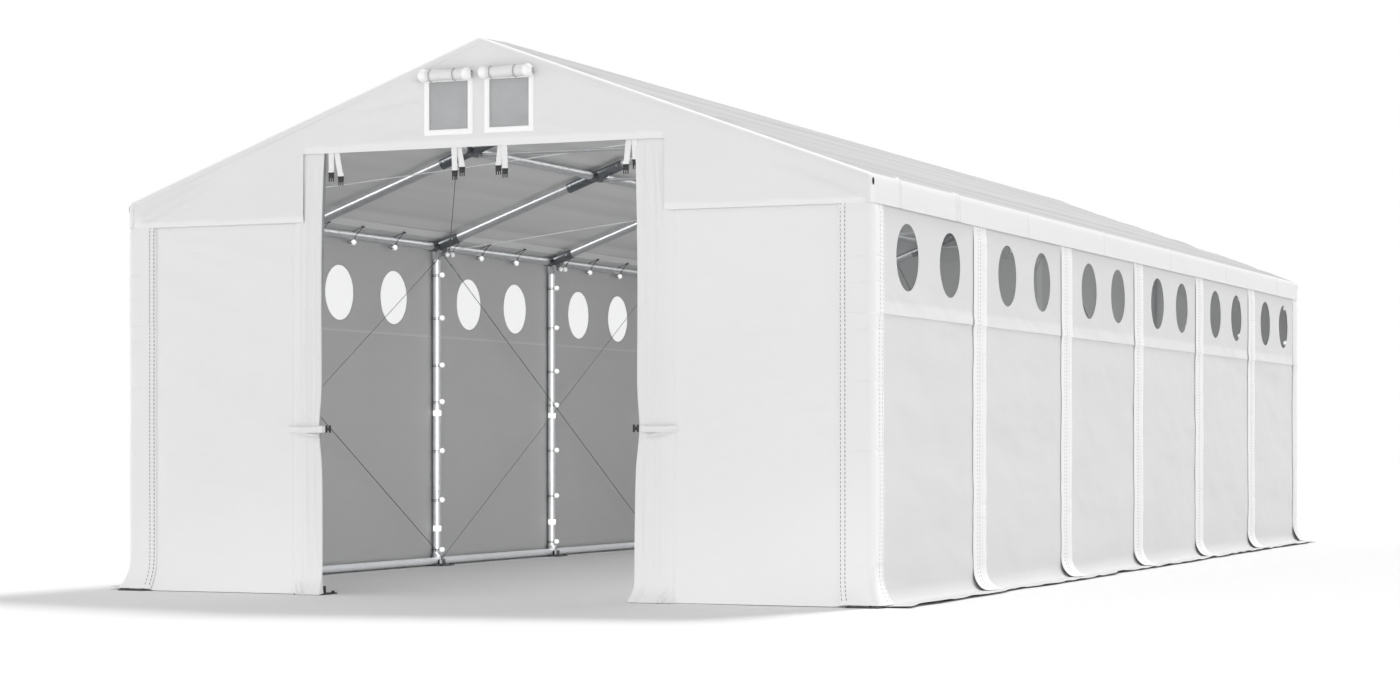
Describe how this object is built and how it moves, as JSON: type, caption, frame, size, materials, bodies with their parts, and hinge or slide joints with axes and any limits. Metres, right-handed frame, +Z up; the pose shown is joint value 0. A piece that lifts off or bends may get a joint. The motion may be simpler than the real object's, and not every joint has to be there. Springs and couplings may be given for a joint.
{
  "type": "marquee tent",
  "caption": "Walk-in marquee with a steel tube frame under a white tarpaulin cover, round side windows, gable vents and a strapped-back doorway.",
  "frame": {"origin": "on the ground at the middle of the tent's plan", "axes": "+Y along the tent from the doorway to the closed rear gable, +Z up, +X to the right seen from the doorway side"},
  "size_m": [5.1914, 12.2016, 3.41],
  "materials": {
    "tarpaulin": "white coated tarpaulin, satin",
    "galvanised_steel": "galvanised tube",
    "dark_steel": "dark powder coat",
    "clear_film": "clear flexible film",
    "grey_net": "fine woven net",
    "steel_cable": "stranded wire"
  },
  "bodies": {
    "root": {"back_wall": "tarpaulin", "base_rail_left": "dark_steel", "base_rail_right": "dark_steel", "collar_tie_1": "galvanised_steel", "collar_tie_2": "galvanised_steel", "collar_tie_3": "galvanised_steel", "collar_tie_4": "galvanised_steel", "collar_tie_5": "galvanised_steel", "collar_tie_6": "galvanised_steel", "collar_tie_7": "galvanised_steel", "door_curtain_left": "tarpaulin", "door_curtain_right": "tarpaulin", "door_post_back_left": "galvanised_steel", "door_post_back_right": "galvanised_steel", "door_post_front_left": "galvanised_steel", "door_post_front_right": "galvanised_steel", "front_wall_left": "tarpaulin", "front_wall_right": "tarpaulin", "gable_header_back": "tarpaulin", "gable_header_front": "tarpaulin", "post_left_1": "galvanised_steel", "post_left_2": "galvanised_steel", "post_left_3": "galvanised_steel", "post_left_4": "galvanised_steel", "post_left_5": "galvanised_steel", "post_left_6": "galvanised_steel", "post_left_7": "galvanised_steel", "post_right_1": "galvanised_steel", "post_right_2": "galvanised_steel", "post_right_3": "galvanised_steel", "post_right_4": "galvanised_steel", "post_right_5": "galvanised_steel", "post_right_6": "galvanised_steel", "post_right_7": "galvanised_steel", "ridge_rail": "galvanised_steel", "roof_bracing_left": "steel_cable", "roof_bracing_right": "steel_cable", "roof_cover": "tarpaulin", "roof_frame_left": "galvanised_steel", "roof_frame_right": "galvanised_steel", "side_wall_left": "tarpaulin", "side_wall_right": "tarpaulin", "vent_net_back": "grey_net", "vent_net_front": "grey_net", "wall_bracing_left": "steel_cable", "wall_bracing_right": "steel_cable", "window_film_left": "clear_film", "window_film_right": "clear_film"}
  },
  "joints": []
}
